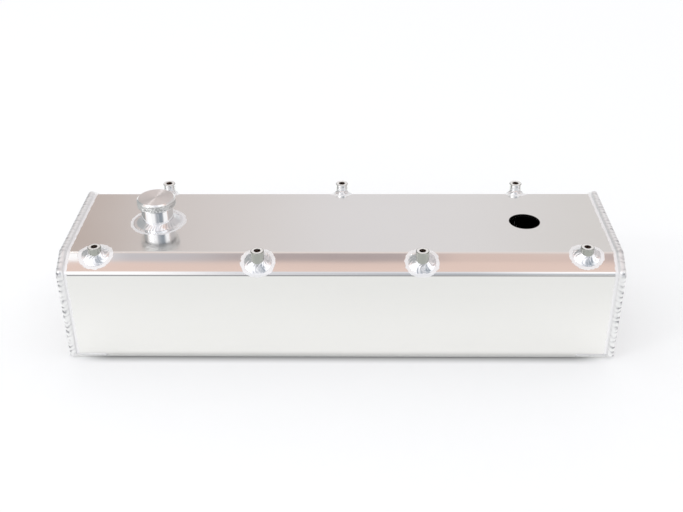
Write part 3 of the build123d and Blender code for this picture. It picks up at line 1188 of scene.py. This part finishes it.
def makeRoom():
    world = bpy.data.worlds.new("studio room")
    bpy.context.scene.world = world
    world.use_nodes = True
    tree = world.node_tree
    tree.nodes.clear()
    around = tree.nodes.new("ShaderNodeTexCoord").outputs["Generated"]
    x, y, z = splitPlace(tree, around)
    # angle over the top from the front horizon, in degrees
    over = maths(tree, "ARCTAN2", z, times(tree, y, -1.0))
    over = times(tree, over, 180 / math.pi)
    farOut = maths(tree, "ABSOLUTE", x)

    def band(name):
        low, lowSoft, high, highSoft = room[name]
        rise = ease(tree, over, low - lowSoft, low + lowSoft)
        fall = ease(tree, over, high - highSoft, high + highSoft, 1.0, 0.0)
        return times(tree, rise, fall)

    def edge(name):
        return ease(tree, x, *room[name])

    aside = ease(tree, farOut, *room["aside"])
    colour = room["base"]
    for height in ("front", "low"):
        tone = blendColour(tree, aside, room[height + "Middle"], room[height + "Sides"])
        colour = blendColour(tree, band(height + "Band"), colour, tone)
    right = times(tree, edge("dimRightStart"), edge("dimRightEnd"))
    middle = times(tree, edge("dimMiddleStart"), edge("dimMiddleEnd"))
    dim = times(tree, band("dimBand"), maths(tree, "MAXIMUM", right, middle))
    colour = blendColour(tree, dim, colour, room["dim"])
    colour = blendColour(tree, band("warmBand"), colour, room["warm"])
    mauve = blendColour(tree, edge("mauveTurn"), room["mauveLeft"], room["mauve"])
    share = plus(tree, edge("mauveFade"), edge("mauveReturn"))
    colour = blendColour(tree, times(tree, band("mauveBand"), share), colour, mauve)
    glint = times(tree, band("glintBand"), edge("glintEnd"))
    colour = blendColour(tree, glint, colour, room["frontSides"])
    colour = blendColour(tree, band("overheadBand"), colour, room["overhead"])
    back = tree.nodes.new("ShaderNodeValToRGB")
    width = 2 * room["backHalf"]
    tree.links.new(maths(tree, "MULTIPLY_ADD", x, 1 / width, 0.5), back.inputs["Fac"])
    stops = back.color_ramp.elements
    while len(stops) < len(room["back"]):
        stops.new(0.5)
    for stop, (across, shown) in zip(stops, room["back"]):
        stop.position = (across + room["backHalf"]) / width
        stop.color = (*shown, 1.0)
    colour = blendColour(tree, band("backBand"), colour, back.outputs["Color"])
    sides = blendColour(tree, ease(tree, x, -0.1, 0.1), room["sideLeft"], room["sideRight"])
    behind = ease(tree, y, -0.05, 0.05)
    behind = times(tree, behind, ease(tree, farOut, *room["sideStart"]))
    colour = blendColour(tree, behind, colour, sides)
    aim = addNode(tree, "ShaderNodeVectorMath", operation="DOT_PRODUCT")
    tree.links.new(around, aim.inputs[0])
    aim.inputs[1].default_value = room["lampAim"]
    colour = blendColour(tree, ease(tree, aim.outputs["Value"], *room["lampEdge"]), colour, room["lamp"])
    # the tones are what the metal mirrors; matt surfaces get a plain even light
    seen = tree.nodes.new("ShaderNodeLightPath")
    colour = blendColour(tree, seen.outputs["Is Glossy Ray"], room["even"], colour)
    colour = blendColour(tree, seen.outputs["Is Camera Ray"], colour, (1.0, 1.0, 1.0))
    light = tree.nodes.new("ShaderNodeBackground")
    tree.links.new(colour, light.inputs["Color"])
    out = tree.nodes.new("ShaderNodeOutputWorld")
    tree.links.new(light.outputs[0], out.inputs["Surface"])


makeRoom()

keyLamp = {
    "towards": (-0.643, -0.472, 0.6),
    "distance": 2.2,
    "aimHeight": 0.06,
    "size": 0.45,
    "watts": 4.0,
}


def makeLamp():
    data = bpy.data.lights.new("soft key", "AREA")
    data.size = keyLamp["size"]
    data.energy = keyLamp["watts"]
    lamp = bpy.data.objects.new("soft key", data)
    bpy.context.scene.collection.objects.link(lamp)
    towards = Vector(keyLamp["towards"]).normalized()
    lamp.location = Vector((0.0, 0.0, keyLamp["aimHeight"])) + towards * keyLamp["distance"]
    lamp.rotation_euler = towards.to_track_quat("Z", "Y").to_euler()


makeLamp()
print("studio lit")

# Camera: where the photograph was taken from, in degrees, with its focal length in pixels
viewpoint = {
    "place": (0.0172, -0.8768, 0.5928),
    "yaw": -1.11,
    "pitch": 30.85,
    "roll": -0.53,
    "focal": 994.7,
    "imageWidth": 683,
}


def makeCamera():
    yaw, pitch, roll = (math.radians(viewpoint[k]) for k in ("yaw", "pitch", "roll"))
    ahead = Vector((math.sin(yaw) * math.cos(pitch), math.cos(yaw) * math.cos(pitch), -math.sin(pitch)))
    right = Vector((math.cos(yaw), -math.sin(yaw), 0.0))
    up = right.cross(ahead)
    across = math.cos(roll) * right + math.sin(roll) * up
    upright = -math.sin(roll) * right + math.cos(roll) * up
    data = bpy.data.cameras.new("photo view")
    data.sensor_width = 36.0
    data.lens = viewpoint["focal"] / viewpoint["imageWidth"] * data.sensor_width
    data.clip_start, data.clip_end = 0.02, 60.0
    camera = bpy.data.objects.new("photo view", data)
    bpy.context.scene.collection.objects.link(camera)
    turned = Matrix((across, upright, -ahead)).transposed().to_4x4()
    camera.matrix_world = Matrix.Translation(Vector(viewpoint["place"])) @ turned
    bpy.context.scene.camera = camera


makeCamera()
bpy.context.scene.view_settings.view_transform = "Standard"

print("scene ready")
